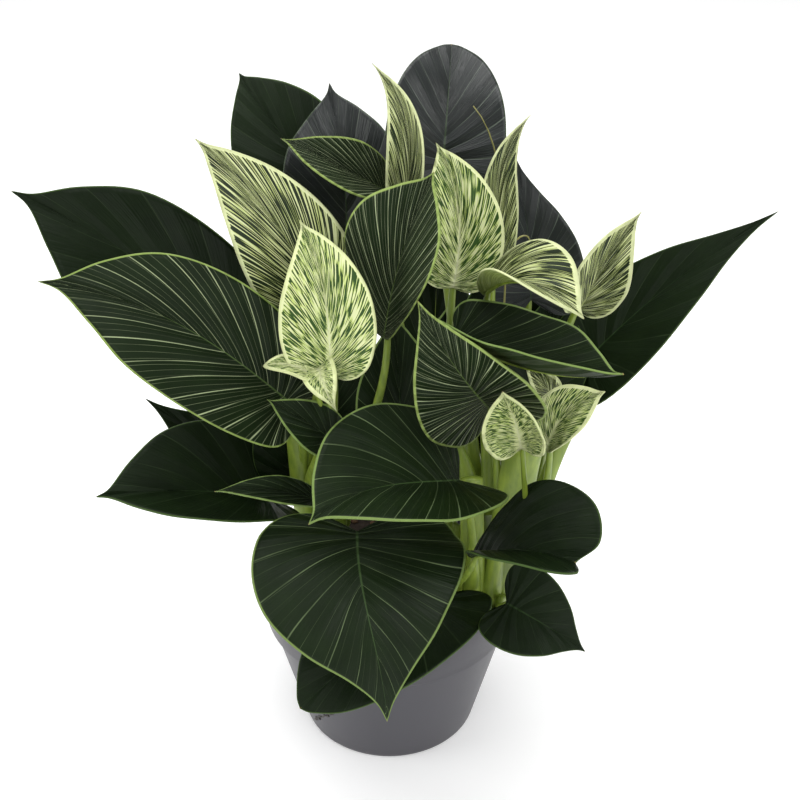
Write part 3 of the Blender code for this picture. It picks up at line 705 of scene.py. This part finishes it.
# The inner leaves: small and half-grown ones that fill the middle of the plant, of the same tissue. Broad
# sheaths of older stalks clasp them, two thin shoots stand among them, and a dry root sticks to the pot.
inner_leaves = [
    Leaf("side_curved", "left", "inner", 72, (0, -6, 182), (-39, -10, 204), (0, 45), 24, "lance", "striped",
         bow=(7, 11), sweep=(-3, -4), fold=(30, 20)),
    Leaf("low_left_small", "left", "outer", -40, (-27, -48, 68), (-66, -62, 82), (0, 60), 13, "lance",
         "veined"),
    Leaf("left_wedge", "left", "outer", -25, (-20, -46, 94), (-45, -52, 117), (15, 35), 20, "oval", "veined"),
    Leaf("curled_ear", "left", "inner", -52, (-26, -54, 127), (-45, -56, 133), (0, 60), 11, "dome", "cream"),
    Leaf("beak", "left", "inner", -30, (-25, -54, 131), (-18, -65, 119), (0, 25), 14, "heart", "cream"),
    Leaf("funnel_lobe", "right", "outer", 72, (50, -66, 104), (41, -75, 133), (-18, 25), 31, "broad", "cream",
         bow=(-5, -2), fold=(15, 20), cup=(55, 50)),
    Leaf("middle_front", "left", "inner", 30, (6, -14, 74), (3, -8, 132), (0, 20), 38, "oval", "veined"),
    Leaf("middle_left", "left", "outer", -95, (-40, -4, 48), (-45, -2, 96), (-10, 25), 32, "oval"),
    Leaf("middle_deep", "left", "inner", 165, (-24, 6, 62), (-18, 10, 122), (0, 20), 40, "broad", "veined"),
    Leaf("middle_right", "right", "outer", -110, (32, 6, 62), (26, 16, 128), (0, 20), 42, "broad", "veined"),
    Leaf("deep_right", "right", "outer", 150, (52, 22, 62), (48, 34, 146), (10, 20), 52, "broad"),
    Leaf("deep_side", "right", "outer", 115, (64, 12, 80), (71, 24, 128), (10, 20), 38, "oval"),
    Leaf("behind_funnel", "right", "outer", 105, (66, -28, 104), (54, -26, 118), (-10, 40), 12, "oval",
         "flecked"),
    Leaf("back_middle", "right", "outer", 200, (20, 30, 62), (22, 56, 132), (180, 20), 46, "broad", "veined"),
    Leaf("back_low_left", "left", "outer", 170, (-28, 32, 58), (-44, 60, 118), (-170, 25), 46),
    Leaf("back_low_right", "right", "outer", 160, (44, 32, 66), (62, 62, 128), (160, 25), 44),
]
for number, leaf in enumerate(inner_leaves):
    blade(leaf, len(leaves) + number)
    stalk(leaf, 0.7)
SHEATH_STEPS, SHOOT_STEPS = 24, 16
for name, widths, points in (
    ("broad_sheath", (8.2, 7.6), ((49, -22, -8), (50, -30, 30), (51, -37, 62), (54, -44, 92))),
    ("short_sheath", (5.6, 4.6), ((38, -26, -8), (36, -31, 25), (35, -36, 50), (34, -38, 72))),
    ("side_sheath", (4.0, 3.2), ((58, -20, -6), (62, -19, 40), (66, -24, 66), (74, -28, 92))),
    ("left_sheath", (5.2, 3.6), ((-34, -2, -8), (-37, -8, 30), (-39, -14, 62), (-38, -24, 92))),
):
    bend = [Vector((x, y, z)) * MM + Vector((0, 0, POT_HEIGHT)) for x, y, z in points]
    route = [cubic(bend, step / SHEATH_STEPS)[0] for step in range(SHEATH_STEPS + 1)]
    radii = []
    for step in range(SHEATH_STEPS + 1):
        wide = between(widths, step / SHEATH_STEPS)
        radii.append((wide * MM, 0.45 * wide * MM))
    finished_piece(name, tube(route, radii, 24), juicy, "stalk")
withered = stalk_skin("withered_shoot", colour("#9c9a52"), colour("#5e5a30"))
holder = next(leaf for leaf in leaves if leaf.name == "narrow_right")
held_at = cubic(stalk_route(holder), 0.9)[0] / MM
rim_level = Vector((0, 0, POT_HEIGHT / MM))
for name, points in (
    ("thin_shoot", ((41, -13, 40), (50, -6, 130), (50, -2, 195), (32, -6, 215))),
    ("curled_shoot", (held_at - rim_level, (46, -6, 168), (60, -7, 172), (55, -6, 152))),
):
    bend = [(Vector(point) + rim_level) * MM for point in points]
    route = [cubic(bend, step / SHOOT_STEPS)[0] for step in range(SHOOT_STEPS + 1)]
    radii = [((0.55 - 0.35 * step / SHOOT_STEPS) * MM,) * 2 for step in range(SHOOT_STEPS + 1)]
    finished_piece(name, tube(route, radii, 8), withered, "stalk")
dry_root = stalk_skin("dry_root", colour("#2e241a"), colour("#17110c"))
ROOT_BEARINGS, ROOT_HEIGHTS = (-54, -21), (9 * MM, 37 * MM)
route, radii = [], []
for step in range(SHOOT_STEPS + 1):
    share = step / SHOOT_STEPS
    height = between(ROOT_HEIGHTS, share)
    against = between((BASE_RADIUS, BODY_TOP_RADIUS), (height - BASE_CHAMFER) / (COLLAR_FOOT - BASE_CHAMFER))
    wobble = 1.5 * math.sin(2.6 * step)
    out = direction(between(ROOT_BEARINGS, share) + wobble, 0) * (against + 0.15 * MM)
    route.append(out + Vector((0, 0, height)))
    radii.append(((0.45 - 0.2 * share) * MM,) * 2)
finished_piece("stray_root", tube(route, radii, 8), dry_root, "stalk")


# The crowns: short fleshy stems set in the compost, ringed by the scars of shed leaves and wrapped in
# the bases of the old ones.
CROWN_BURIED, CROWN_SCARS, CROWN_STEPS = 13 * MM, 7, 40
rind = stalk_skin("crown_rind", colour("#6f8238"), colour("#3f4a20"))
for name, (place, height) in CROWNS.items():
    route, radii = [], []
    for step in range(CROWN_STEPS + 1):
        share = step / CROWN_STEPS
        level = COMPOST_TOP - CROWN_BURIED + (height + CROWN_BURIED) * share
        route.append(Vector((place[0] * MM, place[1] * MM, level)))
        ring = 1 - 0.07 * (1 - abs(2 * ((share * CROWN_SCARS) % 1) - 1)) ** 4
        girth = CROWN_RADIUS * ring * min(1, 4 * (1.05 - share)) ** 0.5
        radii.append((girth, girth))
    finished_piece(f"{name}_crown", tube(route, radii, 28), rind, "crown", f"crown_{name}")


# The surroundings: a plain pale floor, soft light from broad panels above, in front and at the left, and
# the camera, which looks down on the plant from the front.
FLOOR_HALF, FLOOR_GLOW, SKY_STRENGTH = 4, 0.12, 0.7
CAMERA_PLACE, CAMERA_TILT, CAMERA_LENS = (0.005, -0.433, 0.416), 60.3, 52.56
LIT_POINT = Vector((0, 0, 0.15))
floor_shape = bmesh.new()
bmesh.ops.create_grid(floor_shape, x_segments=1, y_segments=1, size=FLOOR_HALF)
floor_data = bpy.data.meshes.new("floor")
floor_shape.to_mesh(floor_data)
floor_shape.free()
floor = bpy.data.objects.new("floor", floor_data)
bpy.context.scene.collection.objects.link(floor)
paper, tree, shader = new_material("matt_white_paper")
shader.inputs["Base Color"].default_value = colour("#ffffff")
shader.inputs["Roughness"].default_value = 0.9
shader.inputs["Emission Color"].default_value = colour("#ffffff")
shader.inputs["Emission Strength"].default_value = FLOOR_GLOW
floor_data.materials.append(paper)

world = bpy.data.worlds.new("studio")
bpy.context.scene.world = world
world.use_nodes = True
sky = world.node_tree.nodes["Background"]
sky.inputs["Color"].default_value = colour("#ffffff")
sky.inputs["Strength"].default_value = SKY_STRENGTH
for name, place, size, power in (
    ("overhead_panel", (-0.2, 0.25, 1.5), 1.2, 16),
    ("front_panel", (0.5, -1.2, 1.2), 1.0, 12),
    ("side_panel", (-1.3, -0.3, 0.7), 0.8, 5),
):
    light = bpy.data.lights.new(name, "AREA")
    light.energy, light.size = power, size
    lamp = bpy.data.objects.new(name, light)
    bpy.context.scene.collection.objects.link(lamp)
    lamp.location = place
    lamp.rotation_euler = (LIT_POINT - Vector(place)).to_track_quat("-Z", "Y").to_euler()

camera = bpy.data.cameras.new("camera")
camera.lens, camera.sensor_width = CAMERA_LENS, 36
viewer = bpy.data.objects.new("camera", camera)
bpy.context.scene.collection.objects.link(viewer)
viewer.location = CAMERA_PLACE
viewer.rotation_euler = (math.radians(CAMERA_TILT), 0, 0)
bpy.context.scene.camera = viewer
bpy.context.scene.view_settings.view_transform = "Standard"
